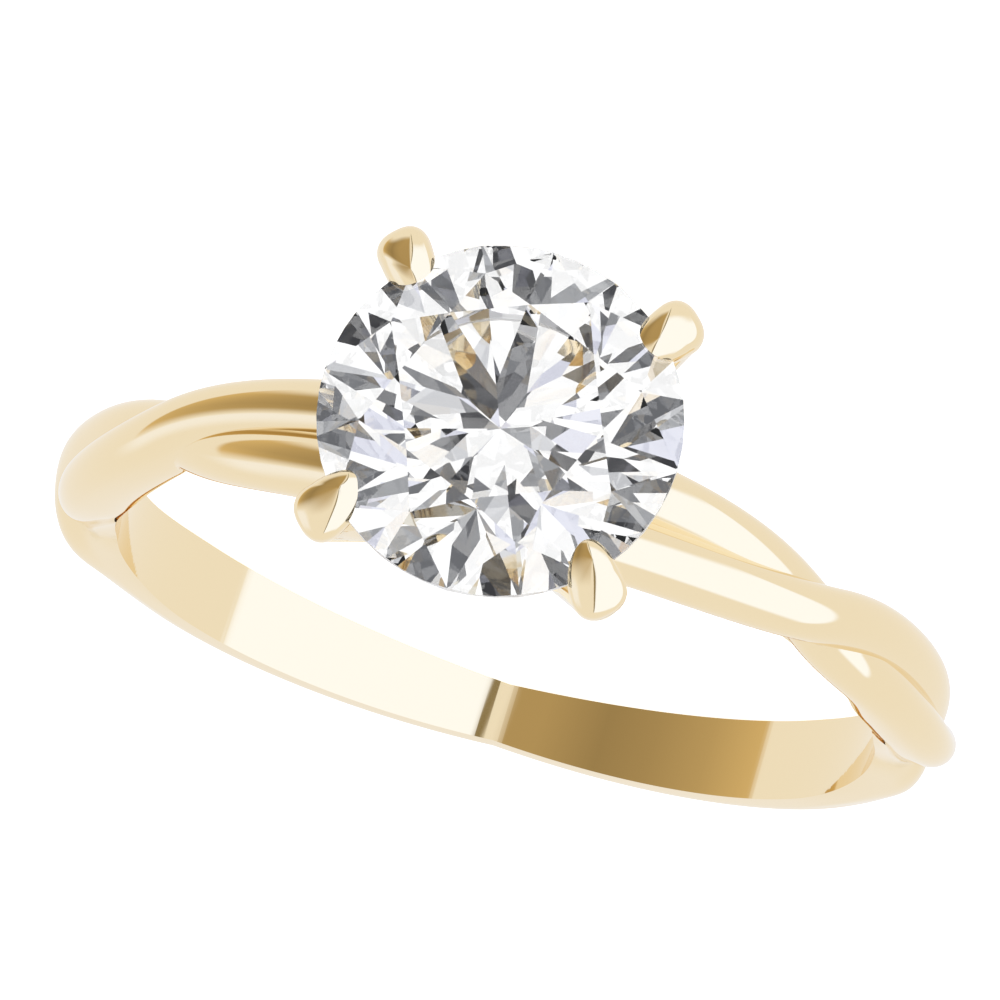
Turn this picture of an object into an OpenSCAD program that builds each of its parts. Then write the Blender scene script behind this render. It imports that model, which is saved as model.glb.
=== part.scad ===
// Twisted shank ring: a round stone in four claws on a shank whose two strands
// turn round each other and run together into one plain band.
// All lengths are in millimetres. The ring lies on its side, with the finger
// hole upright and the stone facing the front.

/* [Finger hole] */
// Radius of the finger hole
bore_r = 8.25; // [7.2:0.05:10]

/* [Plain band] */
// Width of the band at the back of the finger
band_w = 1.38; // [1.1:0.02:3]
// Width of the band where it meets the twist
band_side_w = 1.86; // [1.4:0.02:3]
// Thickness of the band at the back, from the finger outwards
band_t = 1.15; // [0.9:0.05:2.2]
// Thickness of the band where it meets the twist
band_side_t = 1.25; // [0.9:0.05:2.2]

/* [Twisted shoulders] */
// Radius of each strand
strand_r = 0.63; // [0.5:0.01:0.9]
// Distance from the middle of the twist to each strand, along the finger
strand_spread = 0.6; // [0.45:0.01:0.85]
// Distance from the middle of the twist to each strand, outwards
strand_lift = 0.32; // [0.2:0.01:0.5]
// Height of the middle of the twist above the finger, at the sides
twist_seat = 0.75; // [0.6:0.05:1.2]
// How much higher the middle of the twist stands under the stone
shoulder_rise = 1; // [0.4:0.05:1.6]
// Angle from the stone at which the shoulder has come down to the sides
shoulder_angle = 75; // [60:1:90]
// Angle from the stone of the first crossing
cross_1 = 44.5; // [36:0.5:50]
// Angle from the stone of the second crossing
cross_2 = 94; // [85:0.5:100]
// Turn that the pair of strands already has under the stone
head_turn = 2.5; // [0:0.5:10]
// Angle from the stone at which the twist has become plain band
merge_angle = 128; // [118:1:140]
// Half the width of the keel that stands on the finger under the strands
keel_half_w = 0.36; // [0.25:0.01:0.45]

/* [Stone] */
// Diameter of the stone
stone_d = 6.5; // [5:0.1:7.5]
// Height of the girdle above the finger
girdle_h = 5.25; // [4.6:0.05:6.5]
// Width of the table as a share of the diameter
table_share = 0.57; // [0.5:0.01:0.65]
// Slope of the kite facets of the crown
crown_angle = 34.5; // [30:0.5:38]
// Slope of the main facets of the pavilion
pavilion_angle = 40.8; // [38:0.2:42.4]
// Thickness of the girdle
girdle_t = 0.2; // [0.1:0.02:0.4]

/* [Claws] */
// Radius of a claw's rounded head
claw_r = 0.48; // [0.4:0.01:0.65]
// Radius of a claw's leg under its head
claw_leg_r = 0.47; // [0.35:0.01:0.6]
// Radius of a claw's leg at its foot
claw_foot_r = 0.4; // [0.3:0.01:0.5]
// How far the middle of a claw stands outside the edge of the stone
claw_out = 0.32; // [0.1:0.01:0.4]
// How far below the girdle the middle of a claw's head lies
claw_drop = 0.27; // [0.1:0.01:0.5]
// How far a claw's tip reaches in over the stone
claw_reach = 0.5; // [0.3:0.01:0.7]
// Height of a claw's tip above the girdle
claw_tip = 0.44; // [0.3:0.01:0.6]
// How far a claw's tip leans to the side, toward the shoulders
claw_lean = 0.24; // [0:0.02:0.4]
// How far the roots of the claws stand from the middle of the head
claw_root = 1.1; // [0.8:0.05:1.3]
// Depth of the roots below the girdle
claw_depth = 3.9; // [3.6:0.05:4.5]
// Gap between the stone and its seat
seat_gap = 0.025; // [0.01:0.005:0.06]

/* [Hidden] */

// Sections of the shank: fine steps in the twist, coarse ones in the band
twist_step = 2.5;
band_step = 4;
ring_points = 28;
keel_points = 14;

// Sides of the claws, of the stone's seat and of the finger hole
claw_sides = 32;
seat_sides = 96;
hole_sides = 180;

girdle_y = bore_r + girdle_h;
stone_r = stone_d / 2;
table_r = stone_r * table_share;
crown_h = (stone_r - table_r) * tan(crown_angle);
pavilion_h = stone_r * tan(pavilion_angle);

function ease(t) = let (c = max(0, min(1, t))) c * c * (3 - 2 * c);
function blend(a, b, m) = a * (1 - m) + b * m;

// Turn of the pair of strands at an angle from the stone: a quarter turn at
// the first crossing, three quarters at the second, a whole one in the band
turn_b = (270 / cross_2 - 90 / cross_1) / (cross_2 - cross_1);
turn_a = 90 / cross_1 - turn_b * cross_1;
function turn_near(s) = turn_a * s + turn_b * s * s;
function turn_far(s) = 360 - 90 * pow(1 - min(1, (s - cross_2) / (merge_angle - cross_2)), 2);
function turn(t) = head_turn * (1 - ease(abs(t) / merge_angle))
    + sign(t) * (abs(t) < cross_2 ? turn_near(abs(t)) : turn_far(abs(t)));

// Radius, from the finger's axis, of the middle of the twist
function twist_mid(s) = bore_r + twist_seat + shoulder_rise * (1 - ease(s / shoulder_angle));

// Share of plain band in the section
merge_start = cross_2 + 6;
function merged(s) = ease((s - merge_start) / (merge_angle - merge_start));

// Distance from the middle of the pair to the outline of both strands. Where
// the line misses both, the outline keeps a little gold between them.
groove_floor = strand_r / 5;
function lobe(u, c) =
    let (along = u * c, d = along * along - c * c + strand_r * strand_r)
    d > 0 ? along + sqrt(d) : 0;
function pair_radius(u, c) = max(lobe(u, c), lobe(u, -c), groove_floor);

// Outline of the band about its own middle
band_below = band_t * 0.44;
band_round = 2.6;
function to_side(s) = 1 - pow(1 - min(1, (180 - s) / (180 - merge_angle)), 2);
function band_half_w(s) = blend(band_w, band_side_w, to_side(s)) / 2;
function band_half_h(s) = (blend(band_t, band_side_t, to_side(s)) + band_below) / 2;
function egg(u, w, h, e) = pow(pow(abs(u[0]) / w, e) + pow(abs(u[1]) / h, e), -1 / e);

// One section of the shank as [along the finger, radius from the axis]. The
// points turn with the strands, so the grooves run through the same points.
function shank_section(t) =
    let (
        s = abs(t),
        p = turn(t),
        c = [strand_spread * cos(p), strand_lift * sin(p)],
        m = merged(s),
        band_h = band_half_h(s),
        mid = blend(twist_mid(s), bore_r - band_below + band_h, m),
        w = band_half_w(s)
    )
    [for (i = [0 : ring_points - 1])
        let (
            a = p + (i + 0.5) * 360 / ring_points,
            u = [cos(a), sin(a)],
            r = blend(pair_radius(u, c), egg(u, w, band_h, band_round), m)
        )
        [u[0] * r, mid + u[1] * r]];

// One section of the keel: it stands under the strand nearer the finger, and
// thins out where the strands have come down to the finger themselves
keel_end = cross_2 - 6;
keel_fade = 12;
keel_tip_share = 0.3;
keel_head_share = 1.6;
keel_head_angle = 30;
keel_squareness = 4;
function keel_section(t) =
    let (
        s = abs(t),
        p = turn(t),
        fade = blend(keel_tip_share, 1, ease((keel_end - s) / keel_fade)),
        w = keel_half_w * blend(keel_head_share, 1, ease(s / keel_head_angle)) * fade,
        shift = -strand_spread / 2 * sin(2 * p),
        top = twist_mid(s),
        foot = bore_r - band_below,
        h = (top - foot) / 2
    )
    [for (i = [0 : keel_points - 1])
        let (
            a = (i + 0.5) * 360 / keel_points,
            u = [cos(a), sin(a)],
            r = egg(u, w, h, keel_squareness),
            z = foot + h + u[1] * r
        )
        [u[0] * r + shift * (top - z) / (top - bore_r), z]];

// A point of a section, placed in the ring: the stone is toward -Y
function placed(q, t) = [-q[1] * sin(t), -q[1] * cos(t), q[0]];

// Faces of a skin over rings of n points; closed on itself or with flat ends
function skin(rings, n, closed) = concat(
    [for (j = [0 : rings - (closed ? 1 : 2)]) for (i = [0 : n - 1]) for (k = [0, 1])
        let (
            a = j * n + i,
            b = j * n + (i + 1) % n,
            c = (j + 1) % rings * n + (i + 1) % n,
            d = (j + 1) % rings * n + i
        )
        k == 0 ? [a, b, c] : [a, c, d]],
    closed ? [] : [[for (i = [n - 1 : -1 : 0]) i]],
    closed ? [] : [[for (i = [0 : n - 1]) (rings - 1) * n + i]]
);

shank_steps = concat(
    [for (t = [0 : twist_step : merge_angle]) t],
    [for (t = [merge_angle + band_step : band_step : 359.9 - merge_angle]) t],
    [for (t = [-merge_angle + merge_angle % twist_step : twist_step : -0.1]) t]
);
function signed(t) = t > 180 ? t - 360 : t;

module shank() {
    points = [for (t = shank_steps) for (q = shank_section(signed(t))) placed(q, t)];
    polyhedron(points, skin(len(shank_steps), ring_points, true), convexity = 10);
}

module keel() {
    steps = [for (t = [-keel_end : twist_step : keel_end]) t + twist_step / 4];
    points = [for (t = steps) for (q = keel_section(t)) placed(q, t)];
    polyhedron(points, skin(len(steps), keel_points, false), convexity = 10);
}

// A claw is a straight leg with a rounded head, which is a ball below and
// draws out into a blunt tip that leans over the stone
claw_head = [stone_r + claw_out, 0, -claw_drop];
claw_nose = [stone_r - claw_reach, -claw_lean, claw_tip];
claw_foot = [claw_root, 0, -claw_depth];
nose_round = 1.85;

// Turns what is drawn along Z so that it runs from a to b
module along(a, b) {
    d = b - a;
    translate(a) rotate([0, acos(d[2] / norm(d)), atan2(d[1], d[0])]) children();
}

module claw() {
    nose = norm(claw_nose - claw_head);
    along(claw_head, claw_nose) rotate_extrude($fn = claw_sides) polygon(concat(
        [[0, -claw_r]],
        [for (a = [-80 : 10 : -10]) [claw_r * cos(a), claw_r * sin(a)]],
        [for (a = [0 : 10 : 80]) [claw_r * pow(cos(a), 2 / nose_round), nose * pow(sin(a), 2 / nose_round)]],
        [[0, nose]]
    ));
    along(claw_foot, claw_head) cylinder(
        h = norm(claw_head - claw_foot),
        r1 = claw_foot_r,
        r2 = claw_leg_r,
        $fn = claw_sides
    );
}

// Stands what is drawn on the head's middle, with its height toward -Y
module on_head() {
    translate([0, -girdle_y, 0]) rotate([90, 0, 0]) children();
}

// The finger hole is cut longer than the ring is wide
hole_cut = 12;

// Room for the stone, larger than it by the seat gap
module stone_seat() {
    g = girdle_t / 2;
    grow = seat_gap / cos(45);
    rotate_extrude($fn = seat_sides) polygon([
        [0, -g - pavilion_h - grow],
        [stone_r + seat_gap, -g - grow / 2],
        [stone_r + seat_gap, g + grow / 2],
        [table_r + seat_gap, g + crown_h + grow],
        [0, g + crown_h + grow]
    ]);
}

module ring_mounting() {
    color("#e6c98f") rest_ring() difference() {
        union() {
            shank();
            keel();
            on_head() for (x = [0, 1], y = [0, 1]) mirror([x, 0, 0]) mirror([0, y, 0])
                rotate(45) claw();
        }
        cylinder(h = hole_cut, r = bore_r, center = true, $fn = hole_sides);
        on_head() stone_seat();
    }
}

// Points of the stone. A kite facet is centred at every 45 degrees, and the
// girdle has three short sides for each upper facet.
star_share = 0.5;
lower_share = 0.77;
girdle_parts = 3;
half_step = 22.5;
function polar(r, a, z) = [r * cos(a), r * sin(a), z];
star_r = blend(table_r * cos(half_step), stone_r, star_share);
function crown_plane(r) = girdle_t / 2 + (stone_r - r * cos(half_step)) * tan(crown_angle);
lower_r = stone_r * (1 - lower_share);
function pavilion_plane(r) = -girdle_t / 2 - pavilion_h + r * cos(half_step) * tan(pavilion_angle);

// Height of the facet through three points, above the place [x, y]
function plane_z(p, q, s, x, y) =
    let (n = cross(q - p, s - p))
    p[2] - (n[0] * (x - p[0]) + n[1] * (y - p[1])) / n[2];
function rim(side, k) =
    let (
        a0 = floor(k / girdle_parts) * half_step,
        even = floor(k / girdle_parts) % 2 == 0,
        at = k * half_step / girdle_parts,
        edge_0 = polar(stone_r, a0, side * girdle_t / 2),
        edge_1 = polar(stone_r, a0 + half_step, side * girdle_t / 2),
        tip_a = even ? a0 + half_step : a0,
        tip = side > 0 ? polar(star_r, tip_a, crown_plane(star_r))
            : polar(lower_r, tip_a, pavilion_plane(lower_r)),
        x = stone_r * cos(at),
        y = stone_r * sin(at)
    )
    k % girdle_parts == 0 ? polar(stone_r, at, side * girdle_t / 2)
        : [x, y, plane_z(tip, edge_0, edge_1, x, y)];
rim_n = 16 * girdle_parts;

module stone() {
    // Table, stars, upper rim, lower rim, lower halves and culet, in this order
    star_0 = 8;
    upper_0 = 16;
    under_0 = upper_0 + rim_n;
    lower_0 = under_0 + rim_n;
    culet = lower_0 + 8;
    points = concat(
        [for (i = [0 : 7]) polar(table_r, 45 * i, girdle_t / 2 + crown_h)],
        [for (i = [0 : 7]) polar(star_r, 45 * i + half_step, crown_plane(star_r))],
        [for (k = [0 : rim_n - 1]) rim(1, k)],
        [for (k = [0 : rim_n - 1]) rim(-1, k)],
        [for (i = [0 : 7]) polar(lower_r, 45 * i + half_step, pavilion_plane(lower_r))],
        [[0, 0, -girdle_t / 2 - pavilion_h]]
    );
    m = girdle_parts;
    faces = concat(
        [[for (i = [7 : -1 : 0]) i]],
        [for (i = [0 : 7]) [i, (i + 1) % 8, star_0 + i]],
        [for (i = [0 : 7]) [i, star_0 + i, upper_0 + 2 * m * i, star_0 + (i + 7) % 8]],
        [for (i = [0 : 7]) for (k = [0 : 2 * m - 1])
            [star_0 + i, upper_0 + (2 * m * i + k + 1) % rim_n, upper_0 + 2 * m * i + k]],
        [for (k = [0 : rim_n - 1])
            [upper_0 + k, upper_0 + (k + 1) % rim_n, under_0 + (k + 1) % rim_n, under_0 + k]],
        [for (i = [0 : 7]) for (k = [0 : 2 * m - 1])
            [lower_0 + i, under_0 + 2 * m * i + k, under_0 + (2 * m * i + k + 1) % rim_n]],
        [for (i = [0 : 7]) [culet, lower_0 + (i + 7) % 8, under_0 + 2 * m * i, lower_0 + i]]
    );
    color("#eef2f6") rest_ring() on_head() polyhedron(points, faces, convexity = 2);
}

// The ring rests on the edge of the stone and on the back of the band. The
// lowest points of the head and of each section give the slope of the floor.
head_low = concat(
    [for (side = [-1, 1]) [-girdle_y - side * girdle_t / 2, -stone_r]],
    [for (a = [0 : 10 : 350])
        [-girdle_y - claw_head[2] - claw_r * sin(a), -claw_head[0] * cos(45) - claw_r * cos(a)]]
);
shank_low = [for (t = shank_steps) if (abs(signed(t)) > 60) for (q = shank_section(signed(t)))
    [placed(q, t)[1], q[0]]];
function lowest(list, tilt) = min([for (q = list) q[1] * cos(tilt) - q[0] * sin(tilt)]);

// The tilt at which the head and the band touch the floor together
function level_gap(tilt) = lowest(head_low, tilt) - lowest(shank_low, tilt);
function find_tilt(lo, hi, n) =
    let (mid = (lo + hi) / 2)
    n == 0 ? mid : level_gap(mid) < 0 ? find_tilt(mid, hi, n - 1) : find_tilt(lo, mid, n - 1);
rest_tilt = find_tilt(0, 25, 30);
rest_z = -lowest(shank_low, rest_tilt);

// Front and back of the ring once it rests, so that its middle is over the origin
table_y = -girdle_y - girdle_t / 2 - crown_h;
front_y = min([for (side = [-1, 1]) table_y * cos(rest_tilt) + side * table_r * sin(rest_tilt)]);
back_y = max([for (q = shank_low) q[0] * cos(rest_tilt) + q[1] * sin(rest_tilt)]);
rest_y = -(front_y + back_y) / 2;

module rest_ring() {
    translate([0, rest_y, rest_z]) rotate([-rest_tilt, 0, 0]) children();
}

ring_mounting();
stone();
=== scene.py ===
from math import atan2, cos, pi, radians, sin, sqrt

import bpy
from mathutils import Matrix, Vector


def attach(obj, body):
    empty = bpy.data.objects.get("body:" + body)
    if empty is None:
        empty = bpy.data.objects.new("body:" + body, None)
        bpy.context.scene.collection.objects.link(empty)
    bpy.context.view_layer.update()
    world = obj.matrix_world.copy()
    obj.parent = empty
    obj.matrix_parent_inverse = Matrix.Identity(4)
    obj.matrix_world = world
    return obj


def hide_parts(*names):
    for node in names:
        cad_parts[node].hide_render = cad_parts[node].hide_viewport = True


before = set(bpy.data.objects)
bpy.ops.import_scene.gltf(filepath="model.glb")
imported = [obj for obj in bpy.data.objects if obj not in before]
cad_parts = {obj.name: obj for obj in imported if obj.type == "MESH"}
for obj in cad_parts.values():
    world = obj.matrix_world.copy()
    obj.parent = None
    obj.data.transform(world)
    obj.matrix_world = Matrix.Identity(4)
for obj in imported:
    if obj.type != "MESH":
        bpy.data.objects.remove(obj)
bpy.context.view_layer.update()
mm = 0.001

# The twisted shank is one rod of yellow gold: a plain band behind the finger,
# whose ends part into two round strands that twist round each other up to the
# stone. It is cast in one, so one sheet is rolled round both strands.
bore_r = 8.25
band_w, band_side_w = 1.38, 1.86
band_t, band_side_t = 1.15, 1.25
band_below = 0.5
band_crown, band_foot = 2.6, 4.5

# Angles from the stone: the two crossings of the strands, and the stretch in
# which they run together, which starts sooner on the finger's side
cross_1, cross_2 = 42.8, 90
merge_start, merge_angle = 100, 128
merge_sooner = 30
band_back = 180

# Height of the twist over the finger, more under the stone, and how fast the
# strands turn at the first and at the second crossing
twist_seat, shoulder_rise, shoulder_angle = 0.9, 0.91, 75
first_power, second_rate = 2.93, 7.05
least_half_groove = 0.2
over_lift = 0.2
size_angles = (0, 44, 68, 94, band_back)


def ease(t):
    c = max(0, min(1, t))
    return c * c * (3 - 2 * c)


def between(a, b, m):
    return a * (1 - m) + b * m


def along_shank(s, head, first, half, second):
    """A size that changes from the head over the crossings of the strands"""
    stops = list(zip(size_angles, (head, first, half, second, second)))
    for (s0, v0), (s1, v1) in zip(stops, stops[1:]):
        if s <= s1:
            return between(v0, v1, ease((s - s0) / (s1 - s0)))


def strand_turn(t):
    """Turn of the pair: a quarter at the first crossing, three at the second"""
    s = abs(t)
    if s < cross_1:
        turned = 90 * (s / cross_1) ** first_power
    elif s < cross_2:
        long = cross_2 - cross_1
        x = (s - cross_1) / long
        start, finish = 90 * first_power / cross_1 * long, second_rate * long
        turned = 90 + start * x + (540 - 2 * start - finish) * x * x + (start + finish - 360) * x ** 3
    else:
        turned = 360 - 90 * (1 - min(1, (s - cross_2) / (merge_angle - cross_2))) ** 3
    return turned if t >= 0 else -turned


def twist_middle(s):
    return bore_r + twist_seat + shoulder_rise * (1 - ease(s / shoulder_angle))


def rounded(u, w, h, power):
    return (abs(u[0] / w) ** power + abs(u[1] / h) ** power) ** (-1 / power)


def strand_reach(u, x, z, wide, deep):
    """How far a strand reaches, which is round above and drawn out below"""
    for high in (wide, deep):
        a = (u[0] / wide) ** 2 + (u[1] / high) ** 2
        b = u[0] * x / wide ** 2 + u[1] * z / high ** 2
        c = (x / wide) ** 2 + (z / high) ** 2 - 1
        reach = (b + sqrt(max(0, b * b - a * c))) / a
        if u[1] * reach >= z:
            break
    return reach


def groove_turns(right, left, p):
    """The two directions, from the line of the strands, where they meet"""
    (x1, z1, r1), (x2, z2, r2) = right, left
    dx, dz = x1 - x2, z1 - z2
    apart = sqrt(dx * dx + dz * dz)
    e = (r2 ** 2 - r1 ** 2 + apart ** 2) / (2 * apart)
    h = sqrt(max(least_half_groove ** 2, r2 ** 2 - e * e))
    turns = []
    for way in (1, -1):
        x = x2 + (dx * e - way * dz * h) / apart
        z = z2 + (dz * e + way * dx * h) / apart
        turns.append((atan2(z, x) - p + pi) % (2 * pi) - pi)
    return turns


def strand_sizes(s):
    """Lift, radius and depth below of the strand that first crosses over the
    other, and of the one that goes under"""
    over = along_shank(s, 0.68, 0.582, 0.571, 0.444)
    under = along_shank(s, 0.68, 0.634, 0.548, 0.477)
    over_deep = over * between(1, 1.9, ease((s - 36) / 12))
    under_deep = under * (1 + 0.75 * ease((s - 54) / 12) + 1.6 * ease((s - 74) / 14))
    under_lift = along_shank(s, 0.36, 0.36, 0.2, 0.2)
    return (over_lift, over, over_deep), (under_lift, under, under_deep)


def groove_aligned(a, top, low):
    """Moves a quarter turn up to the groove above, and one down to the other"""
    if a < pi / 2:
        return between(low, top, a / pi + 0.5)
    if a < 3 * pi / 2:
        return between(top, low + 2 * pi, a / pi - 0.5)
    return between(low, top, a / pi - 1.5)


def band_reach(u, s):
    """How far the plain band reaches from the middle of the section"""
    side = 1 - (1 - min(1, (band_back - s) / (band_back - merge_angle))) ** 2
    half_w = between(band_w, band_side_w, side) / 2 * between(0.8, 1, ease((s - 88) / 36))
    half_h = (between(band_t, band_side_t, side) + band_below) / 2
    settled = ease((s - merge_start) / (merge_angle - merge_start))
    middle = between(twist_middle(s), bore_r - band_below + half_h, settled)
    high = half_h if u[1] > 0 else middle - bore_r + band_below
    return middle, rounded(u, half_w, high, between(band_crown, band_foot, ease(-2 * u[1])))


def shank_point(t, a):
    s = abs(t)
    p = radians(strand_turn(t))
    spread = along_shank(s, 0.604, 0.424, 0.451, 0.486) * between(1, 0.7, ease((s - 94) / 16))
    over, under = strand_sizes(s)
    right, left = (over, under) if t > 0 else (under, over)
    x1, z1, x2, z2 = spread * cos(p), right[0] * sin(p), -spread * cos(p), -left[0] * sin(p)
    a = groove_aligned(a, *groove_turns((x1, z1, right[1]), (x2, z2, left[1]), p))
    u = (cos(p + a), sin(p + a))
    pair = max(strand_reach(u, x1, z1, *right[1:]), strand_reach(u, x2, z2, *left[1:]))
    sooner = merge_sooner * ease(0.3 - 1.2 * u[1])
    merged = ease((s - merge_start + sooner) / (merge_angle - merge_start))
    middle, band = band_reach(u, s)
    r = between(pair, band, merged)
    return placed(u[0] * r, middle + u[1] * r, t)


def placed(along_finger, out, t):
    t = radians(t)
    return Vector((-out * sin(t), -out * cos(t), along_finger)) * mm


def rolled_sheet(name, along, around, place):
    bpy.ops.object.select_all(action="DESELECT")
    bpy.ops.mesh.primitive_grid_add(x_subdivisions=along, y_subdivisions=around, size=2)
    sheet = bpy.context.object
    sheet.name = name
    for v in sheet.data.vertices:
        v.co = place((v.co.x + 1) / 2, (v.co.y + 1) / 2)
    close_up(sheet)
    return sheet


def pick_up(piece):
    bpy.ops.object.select_all(action="DESELECT")
    piece.select_set(True)
    bpy.context.view_layer.objects.active = piece


def close_up(piece):
    """Merges the seam, closes the ends and points the faces outwards"""
    seam = 1e-6
    pick_up(piece)
    bpy.ops.object.mode_set(mode="EDIT")
    bpy.ops.mesh.select_all(action="SELECT")
    bpy.ops.mesh.remove_doubles(threshold=seam)
    bpy.ops.mesh.select_all(action="DESELECT")
    bpy.ops.mesh.select_non_manifold()
    bpy.ops.mesh.edge_face_add()
    bpy.ops.mesh.select_all(action="SELECT")
    bpy.ops.mesh.normals_make_consistent(inside=False)
    bpy.ops.object.mode_set(mode="OBJECT")


mounting = rolled_sheet("gold_mounting", 480, 96,
                        lambda x, y: shank_point(360 * x - 180, radians(360 * y)))

# The keel is a narrow web of the same gold. It stands on the finger under the
# strands, where the twist lifts off the finger, and its ends thin out into
# the shank.
keel_end, keel_fade, keel_tip_share = 88, 12, 0.3
keel_w, keel_side_w, keel_side_angle = 0.576, 0.28, 34
keel_shift = 0.08
keel_square = 4


def keel_point(x, y):
    t = between(-keel_end, keel_end, x)
    s = abs(t)
    p = radians(strand_turn(t))
    a = radians(360 * y)
    fade = between(keel_tip_share, 1, ease((keel_end - s) / keel_fade))
    w = between(keel_w, keel_side_w, ease(s / keel_side_angle)) * fade
    foot, top = bore_r - band_below, twist_middle(s)
    h = (top - foot) / 2
    r = rounded((cos(a), sin(a)), w, h, keel_square)
    z = foot + h + sin(a) * r
    shift = -keel_shift * sin(2 * p)
    return placed(cos(a) * r + shift * (top - z) / (top - bore_r), z, t)


keel = rolled_sheet("keel", 176, 48, keel_point)

# Four gold claws rise from the shank under the stone. Each is a round wire
# whose end is filed to a soft point and pushed over the edge of the stone.
# Their places are out from the stone's middle and up from its edge.
stone_r = 3.25
stone_height = 5.25
girdle_y = bore_r + stone_height
claw_head = Vector((stone_r + 0.32, 0, -0.27))
claw_foot = Vector((1.5, 0, -3.9))
foot_r, leg_r, neck_r = 0.4, 0.43, 0.46
tip_point = Vector((3.12, -0.13, 0.46))
tip_end = 2.62
head_half_w, head_out, head_deep = 0.5, 0.45, 0.7
rim_height, end_height = -0.05, 0.2
diagonal = cos(radians(45))


def turned_wire(name, a, b, profile):
    """A wire turned on a lathe along the line from a to b"""
    bpy.ops.object.select_all(action="DESELECT")
    bpy.ops.mesh.primitive_circle_add(vertices=48, radius=1, fill_type="NOTHING")
    wire = bpy.context.object
    wire.name = name
    turn = (b - a).normalized().to_track_quat("Z", "Y")
    bpy.ops.object.mode_set(mode="EDIT")
    bpy.ops.mesh.select_all(action="SELECT")
    bpy.ops.transform.resize(value=(profile[0][0],) * 3)
    for (r0, z0), (r1, z1) in zip(profile, profile[1:]):
        bpy.ops.mesh.extrude_region_move(TRANSFORM_OT_translate={"value": (0, 0, z1 - z0)})
        bpy.ops.transform.resize(value=(r1 / r0, r1 / r0, 1), center_override=(0, 0, 0))
    bpy.ops.object.mode_set(mode="OBJECT")
    for v in wire.data.vertices:
        co = v.co + Vector((0, 0, profile[0][1]))
        v.co = (turn @ co + a) * mm
    close_up(wire)
    return wire


def claw_tip(name, lean_x, lean_z):
    """A ball drawn out over the stone, with a soft point on its top"""
    bpy.ops.object.select_all(action="DESELECT")
    bpy.ops.mesh.primitive_uv_sphere_add(segments=64, ring_count=48, radius=1)
    tip = bpy.context.object
    tip.name = name
    for v in tip.data.vertices:
        x, y, z = v.co
        reach = min(1, sqrt(x * x + y * y))
        turn = atan2(y, x)
        c, t = cos(turn), sin(turn)
        long = head_out if c > 0 else claw_head.x - tip_end
        square = 2 / 2.5 if c > 0 else 1
        rim = Vector((claw_head.x + long * abs(c) ** square * (1 if c > 0 else -1),
                      head_half_w * abs(t) ** square * (1 if t > 0 else -1) - 0.13 * max(0, -c), 0))
        rim.z = between(rim_height, end_height, max(0, -c) ** 1.5)
        if z >= 0:
            flat = Vector((tip_point.x, tip_point.y, 0)).lerp(Vector((rim.x, rim.y, 0)), reach)
            drop = 0.18 * reach + 0.82 * (1 - sqrt(1 - reach ** 4.5))
            x, y = flat.x - tip_point.x, flat.y - tip_point.y
            lean = (lean_x * (x - y) + lean_z * (x + y)) * diagonal
            v.co = (flat.x, flat.y, between(tip_point.z, rim.z, drop) - lean * (1 - reach ** 6))
        else:
            flat = Vector((claw_head.x, 0, 0)).lerp(Vector((rim.x, rim.y, 0)), reach)
            v.co = (flat.x, flat.y, between(rim_height, rim.z, reach) - head_deep * sqrt(1 - reach * reach))
        v.co *= mm
    return tip


claws = []
leg_len = (claw_head - claw_foot).length
foot_turns = [radians(turn) for turn in (10, 30, 50, 70, 90)]
leg_profile = [(foot_r * sin(turn), foot_r * (1 - cos(turn))) for turn in foot_turns]
leg_profile += [(leg_r, leg_len / 2), (neck_r, leg_len)]
for k, (sx, sy) in enumerate(((1, 1), (-1, 1), (-1, -1), (1, -1))):
    tip = claw_tip("claw_tip_%d" % k, -0.055 * sx, 0.18 * sy)
    leg = turned_wire("claw_leg_%d" % k, claw_foot, claw_head, leg_profile)
    for piece in (tip, leg):
        for v in piece.data.vertices:
            x, y, z = (v.co.x - v.co.y) * diagonal, (v.co.x + v.co.y) * diagonal, v.co.z
            v.co = (x * sx, -girdle_y * mm - z, y * sy)
        close_up(piece)
        claws.append(piece)

# The keel and the claws are soldered to the shank, so the mounting is one
# piece of gold. The finger hole is reamed through it, and a seat is cut into
# the claws for the stone. Then it is polished.


def joined(piece, other, how):
    cut = piece.modifiers.new(how.lower(), "BOOLEAN")
    cut.operation = how
    cut.solver = "MANIFOLD"
    cut.object = other
    pick_up(piece)
    bpy.ops.object.modifier_apply(modifier=cut.name)
    bpy.data.objects.remove(other)


joined(mounting, keel, "UNION")
for piece in claws:
    joined(mounting, piece, "UNION")

reamer_len = 12
bpy.ops.object.select_all(action="DESELECT")
bpy.ops.mesh.primitive_cylinder_add(vertices=480, radius=bore_r * mm, depth=reamer_len * mm)
joined(mounting, bpy.context.object, "DIFFERENCE")

crown_h, pavilion_h, table_r, girdle_half = 0.9605, 2.8053, 1.8525, 0.1
seat_gap = 0.012
grow = seat_gap / diagonal
seat = turned_wire("seat", Vector((0, 0, 0)), Vector((0, 0, 1)), [
    (0.001, -girdle_half - pavilion_h - grow),
    (stone_r + seat_gap, -girdle_half - grow / 2),
    (stone_r + seat_gap, girdle_half + grow / 2),
    (table_r + seat_gap, girdle_half + crown_h + grow),
])
for v in seat.data.vertices:
    v.co = (v.co.x, -girdle_y * mm - v.co.z, v.co.y)
close_up(seat)
joined(mounting, seat, "DIFFERENCE")

# The reamer leaves a crisp edge all round the finger hole
shape = mounting.data
on_hole = 5e-7
reamed = []
for face in shape.polygons:
    corners = [shape.vertices[k].co for k in face.vertices]
    reamed.append(all(abs(sqrt(co.x ** 2 + co.y ** 2) - bore_r * mm) < on_hole for co in corners))
beside = {}
for face, is_reamed in zip(shape.polygons, reamed):
    for key in face.edge_keys:
        beside.setdefault(key, set()).add(is_reamed)
for line in shape.edges:
    line.use_edge_sharp = len(beside[line.key]) == 2

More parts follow.
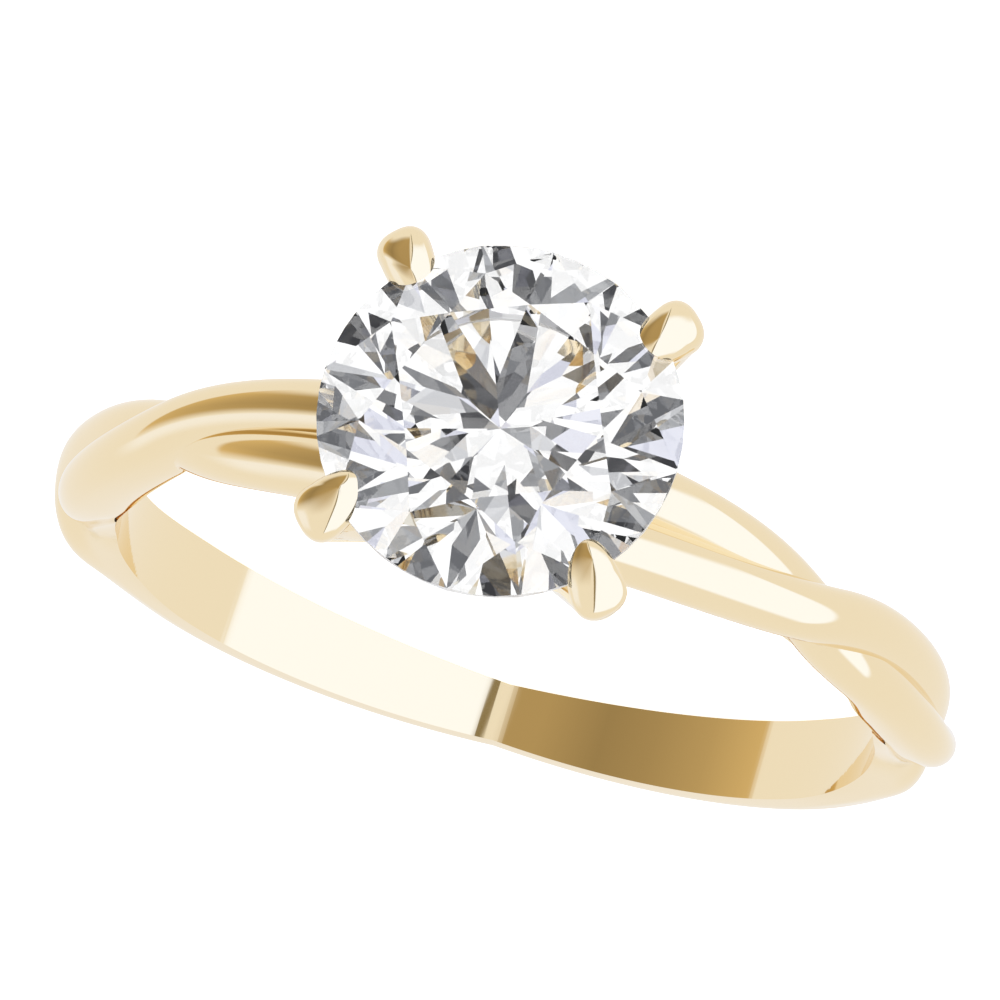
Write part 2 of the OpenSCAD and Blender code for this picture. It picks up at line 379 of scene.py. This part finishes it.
# The ring lies on its side and leans on the stone's edge
rest_tilt = radians(-6.37345)
rest_y, rest_z = 2.66281, 1.7424
mounting.rotation_euler = (rest_tilt, 0, 0)
mounting.location = (0, rest_y * mm, rest_z * mm)
pick_up(mounting)
bpy.ops.object.transform_apply(location=True, rotation=True, scale=True)
bpy.ops.object.shade_smooth_by_angle(angle=radians(24))


def new_material(name, color):
    material = bpy.data.materials.new(name)
    material.use_nodes = True
    skin = material.node_tree.nodes["Principled BSDF"]
    skin.inputs["Base Color"].default_value = color
    return material, material.node_tree.nodes, material.node_tree.links, skin


def fine_marks(nodes, links, skin, scale, height):
    """The marks that the work leaves, as a very shallow relief"""
    where = nodes.new("ShaderNodeTexCoord")
    marks = nodes.new("ShaderNodeTexNoise")
    marks.inputs["Scale"].default_value = scale
    links.new(where.outputs["Object"], marks.inputs["Vector"])
    relief = nodes.new("ShaderNodeBump")
    relief.inputs["Distance"].default_value = height
    links.new(marks.outputs[0], relief.inputs["Height"])
    links.new(relief.outputs[0], skin.inputs["Normal"])
    return marks, relief


gold, nodes, links, skin = new_material("polished_yellow_gold", (0.92, 0.77, 0.5, 1))
skin.inputs["Metallic"].default_value = 1
wear, relief = fine_marks(nodes, links, skin, 900, 0.00001)
wear.inputs["Detail"].default_value = 3
relief.inputs["Strength"].default_value = 0.03
polish = nodes.new("ShaderNodeMapRange")
polish.inputs["To Min"].default_value = 0.03
polish.inputs["To Max"].default_value = 0.06
links.new(wear.outputs[0], polish.inputs["Value"])
links.new(polish.outputs[0], skin.inputs["Roughness"])
mounting.data.materials.clear()
mounting.data.materials.append(gold)
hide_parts("ring_mounting")
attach(mounting, "root")

# The stone is a round brilliant, clear and cut with flat facets. It sits in
# its seat under the claws. Its facets are polished, and its edge is ground.
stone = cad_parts["stone"]
clear, nodes, links, skin = new_material("clear_cut_stone", (1, 1, 1, 1))
skin.inputs["Transmission Weight"].default_value = 1
skin.inputs["IOR"].default_value = 2.417
slope = nodes.new("ShaderNodeVectorMath")
slope.operation = "DOT_PRODUCT"
slope.inputs[1].default_value = (0, -cos(rest_tilt), -sin(rest_tilt))
links.new(nodes.new("ShaderNodeNewGeometry").outputs["True Normal"], slope.inputs[0])
slope_size = nodes.new("ShaderNodeMath")
slope_size.operation = "ABSOLUTE"
links.new(slope.outputs["Value"], slope_size.inputs[0])
ground = nodes.new("ShaderNodeMapRange")
ground.inputs["From Min"].default_value = 0.1
ground.inputs["From Max"].default_value = 0.3
ground.inputs["To Min"].default_value = 0.3
ground.inputs["To Max"].default_value = 0
links.new(slope_size.outputs[0], ground.inputs["Value"])
links.new(ground.outputs[0], skin.inputs["Roughness"])
marks, relief = fine_marks(nodes, links, skin, 4000, 0.000005)
links.new(ground.outputs[0], relief.inputs["Strength"])
for slot in stone.material_slots:
    slot.material = clear

# The floor is a white sheet, and the studio round it is a white room with a
# cool white lamp on one side and a brown card on the other, which the gold
# shows as its cream and brown panels. The sheet takes part in no reflection.
bpy.ops.object.select_all(action="DESELECT")
bpy.ops.mesh.primitive_plane_add(size=4)
floor = bpy.context.object
floor.name = "studio_floor"
white, nodes, links, paper = new_material("white_floor", (0.93, 0.93, 0.93, 1))
paper.inputs["Roughness"].default_value = 0.7
paper.inputs["Emission Color"].default_value = (1, 1, 1, 1)
paper.inputs["Emission Strength"].default_value = 0.7
floor.data.materials.append(white)
floor.visible_glossy = False
floor.visible_transmission = False

world = bpy.data.worlds.new("studio")
bpy.context.scene.world = world
world.use_nodes = True
room = world.node_tree


def joined_to(socket, value):
    """Links a node's output to a socket, or gives the socket a plain value"""
    if isinstance(value, bpy.types.NodeSocket):
        room.links.new(value, socket)
    else:
        socket.default_value = value


def node(kind, *values, **settings):
    n = room.nodes.new(kind)
    for name, value in settings.items():
        setattr(n, name, value)
    for k, value in enumerate(values):
        joined_to(n.inputs[k], value)
    return n.outputs[0]


def times(*values):
    return node("ShaderNodeMath", *values, operation="MULTIPLY")


def step(value, low, high):
    return node("ShaderNodeMapRange", value, low, high, 0.0, 1.0, interpolation_type="SMOOTHSTEP")


def inside(value, a, b, c, d):
    """1 from b to c, with soft edges down to 0 at a and d"""
    return times(step(value, a, b), node("ShaderNodeMath", 1.0, step(value, c, d), operation="SUBTRACT"))


def tone(under, over, share):
    mix = room.nodes.new("ShaderNodeMix")
    mix.data_type = "RGBA"
    for k, value in ((0, share), (6, under), (7, over)):
        joined_to(mix.inputs[k], value)
    return mix.outputs[2]


def ramp(value, stops, **settings):
    n = room.nodes.new("ShaderNodeValToRGB")
    room.links.new(value, n.inputs[0])
    for name, setting in settings.items():
        setattr(n.color_ramp, name, setting)
    while len(n.color_ramp.elements) < len(stops):
        n.color_ramp.elements.new(0.5)
    for element, (at, color) in zip(n.color_ramp.elements, stops):
        element.position = at
        element.color = (*color, 1)
    return n.outputs[0]


def grey_ramp(value, low, high, stops):
    share = node("ShaderNodeMapRange", value, low, high, 0.0, 1.0)
    return ramp(share, [((at - low) / (high - low), (c, c, c)) for at, c in stops])


# Sideways and upward angles of the room, from a line that leaves the ring
# toward the front and a little up
side_axis = (-0.95827, -0.03059, -0.28422)
up_axis = (0.27332, -0.38924, -0.87965)
front_axis = (-0.08372, -0.92063, 0.38136)
look = room.nodes.new("ShaderNodeTexCoord").outputs["Generated"]


def share_of(axis):
    n = room.nodes.new("ShaderNodeVectorMath")
    n.operation = "DOT_PRODUCT"
    room.links.new(look, n.inputs[0])
    n.inputs[1].default_value = axis
    return n.outputs["Value"]


def in_degrees(operation, *values):
    return node("ShaderNodeMath", node("ShaderNodeMath", *values, operation=operation), operation="DEGREES")


lon = in_degrees("ARCTAN2", share_of(side_axis), share_of(front_axis))
lat = in_degrees("ARCSINE", share_of(up_axis))

wall_color = (0.93, 0.93, 0.955, 1)
glow_color = (1.0, 1.07, 1.3, 1)
lamp_color = (1.1, 1.25, 1.68, 1)
gap_color = (0.28, 0.23, 0.13, 1)
card_color = (1, 0.76, 0.39)
glow = times(inside(lon, -118.0, -95.0, -60.0, -40.0), inside(lat, -42.0, -16.0, -10.0, -3.0))
light = tone(wall_color, glow_color, glow)
lamp = times(inside(lon, 3.0, 7.0, 86.0, 90.0), inside(lat, -56.0, -46.0, 28.0, 40.0))
light = tone(light, lamp_color, lamp)
dark_gap = times(inside(lon, 2.5, 3.5, 5.0, 6.5), inside(lat, -60.0, -40.0, 60.0, 80.0))
light = tone(light, gap_color, dark_gap)
card = times(inside(lon, -105.0, -101.0, -4.0, 0.0), inside(lat, -8.0, 12.0, 44.0, 64.0))
card_light = times(
    grey_ramp(lon, -110.0, 0.0, ((-104, 0.76), (-80, 0.55), (-57, 0.43), (-37, 0.37), (-14, 0.5))),
    grey_ramp(lat, -10.0, 60.0, ((5, 1.0), (22, 0.9), (36, 0.95), (50, 1.0))))
brown = room.nodes.new("ShaderNodeVectorMath")
brown.operation = "SCALE"
brown.inputs[0].default_value = card_color
room.links.new(card_light, brown.inputs["Scale"])
light = tone(light, brown.outputs[0], card)

# The stone shows a room of white, grey and black cards. What its facets
# mirror is dark grey, and the floor takes plain white light.
cells = room.nodes.new("ShaderNodeTexVoronoi")
cells.inputs["Scale"].default_value = 2.6
room.links.new(look, cells.inputs["Vector"])
pick = room.nodes.new("ShaderNodeSeparateColor")
room.links.new(cells.outputs["Color"], pick.inputs[0])
cards = ((0.0, (0.03, 0.03, 0.035)), (0.08, (0.17, 0.175, 0.19)), (0.16, (0.45, 0.46, 0.48)),
         (0.28, (0.78, 0.79, 0.82)), (0.4, (1.3, 1.3, 1.3)), (0.9, (0.88, 0.895, 1.03)),
         (0.912, (1.05, 0.93, 0.75)), (0.92, (1.25, 1.25, 1.25)))
seen_through = ramp(pick.outputs[0], cards, interpolation="CONSTANT")
mirror_color = (0.16, 0.165, 0.17, 1)
path = room.nodes.new("ShaderNodeLightPath")
mirrored = times(path.outputs["Is Singular Ray"], path.outputs["Is Glossy Ray"])
plain = node("ShaderNodeMath", path.outputs["Is Diffuse Ray"], path.outputs["Is Camera Ray"],
             operation="MAXIMUM")
light = tone(light, mirror_color, mirrored)
light = tone(light, seen_through, path.outputs["Is Transmission Ray"])
light = tone(light, (1, 1, 1, 1), plain)
room.links.new(light, room.nodes["Background"].inputs["Color"])
bounces = bpy.context.scene.cycles
bounces.max_bounces = 16
bounces.glossy_bounces = 12
bounces.transmission_bounces = 16

# The camera has the photograph's view, from the front and a little above
right = Vector((-0.95827245, -0.0305941, -0.28421456))
down = Vector((-0.27332297, 0.3892436, 0.87964992))
forward = Vector((0.0837166, 0.92062664, -0.38136349))
place = Vector((-6.18817, -74.05213, 30.93982)) * mm
lens = bpy.data.cameras.new("photo_view")
lens.sensor_width = 36
lens.lens = 141.4
lens.clip_start = 0.001
lens.clip_end = 20
camera = bpy.data.objects.new("photo_view", lens)
bpy.context.collection.objects.link(camera)
turn = Matrix((right, -down, -forward)).transposed().to_4x4()
camera.matrix_world = Matrix.Translation(place) @ turn
bpy.context.scene.camera = camera
bpy.context.scene.view_settings.view_transform = "Standard"
